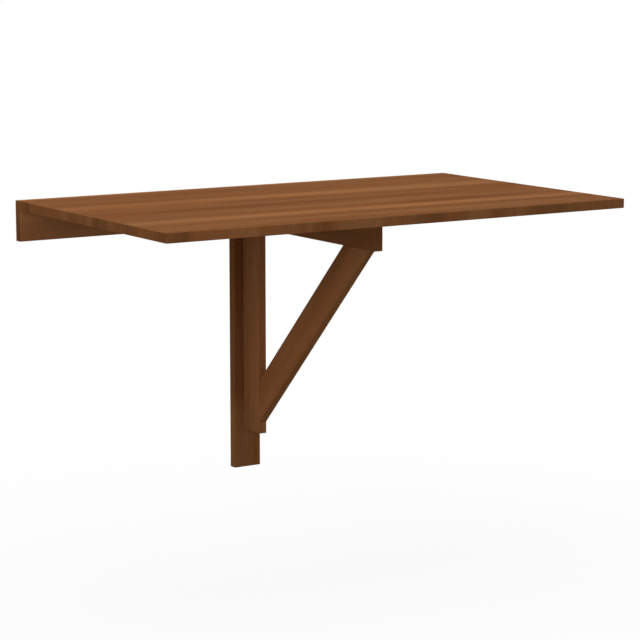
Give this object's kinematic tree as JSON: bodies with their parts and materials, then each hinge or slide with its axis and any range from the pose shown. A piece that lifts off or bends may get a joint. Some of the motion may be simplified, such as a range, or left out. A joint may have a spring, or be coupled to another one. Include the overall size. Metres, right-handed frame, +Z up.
{
  "type": "wall mounted drop leaf table",
  "caption": "Wall mounted drop leaf table: a wooden leaf on a fixed strip, carried by a triangular gate bracket that swings on a wall post.",
  "frame": {"origin": "middle of the rail's row of wall screw holes, on the wall plane", "axes": "+X along the wall to the right as seen from the room, +Y into the wall, +Z up"},
  "size_m": [1, 0.6, 0.578],
  "materials": {
    "walnut_wood": "satin walnut-brown oil",
    "dowel_wood": "plain beech",
    "steel": "satin",
    "felt": "dark brown felt"
  },
  "bodies": {
    "wall_frame": {"wall_rail": "walnut_wood", "wall_post": "walnut_wood", "hinge_strip": "walnut_wood", "leaf_hinge_left_strip_plate": "steel", "leaf_hinge_middle_strip_plate": "steel", "leaf_hinge_right_strip_plate": "steel", "gate_hinge_upper_post_plate": "steel", "gate_hinge_lower_post_plate": "steel", "leaf_hinge_left_pin": "steel", "leaf_hinge_middle_pin": "steel", "leaf_hinge_right_pin": "steel", "gate_hinge_upper_pin": "steel", "gate_hinge_lower_pin": "steel", "strip_hinge_screws": "steel", "post_hinge_screws": "steel", "rail_post_dowels": "dowel_wood", "rail_strip_dowels": "dowel_wood"},
    "bracket": {"bracket_upright": "walnut_wood", "bracket_arm": "walnut_wood", "bracket_brace": "walnut_wood", "arm_pad": "felt", "gate_hinge_upper_bracket_plate": "steel", "gate_hinge_lower_bracket_plate": "steel", "bracket_hinge_screws": "steel", "upright_arm_dowels": "dowel_wood", "arm_brace_dowels": "dowel_wood", "upright_brace_dowels": "dowel_wood"},
    "leaf": {"table_leaf": "walnut_wood", "leaf_hinge_left_leaf_plate": "steel", "leaf_hinge_middle_leaf_plate": "steel", "leaf_hinge_right_leaf_plate": "steel", "leaf_hinge_screws": "steel"}
  },
  "joints": [
    {"name": "bracket_swing", "type": "hinge", "parent": "wall_frame", "child": "bracket", "pos_m": [0.012, -0.021, 0], "axis": [0, 0, 1], "range_deg": [0, 90]},
    {"name": "leaf_hinge", "type": "hinge", "parent": "wall_frame", "child": "leaf", "pos_m": [0, -0.0605, 0.033], "axis": [1, 0, 0], "range_deg": [-3, 0]}
  ]
}
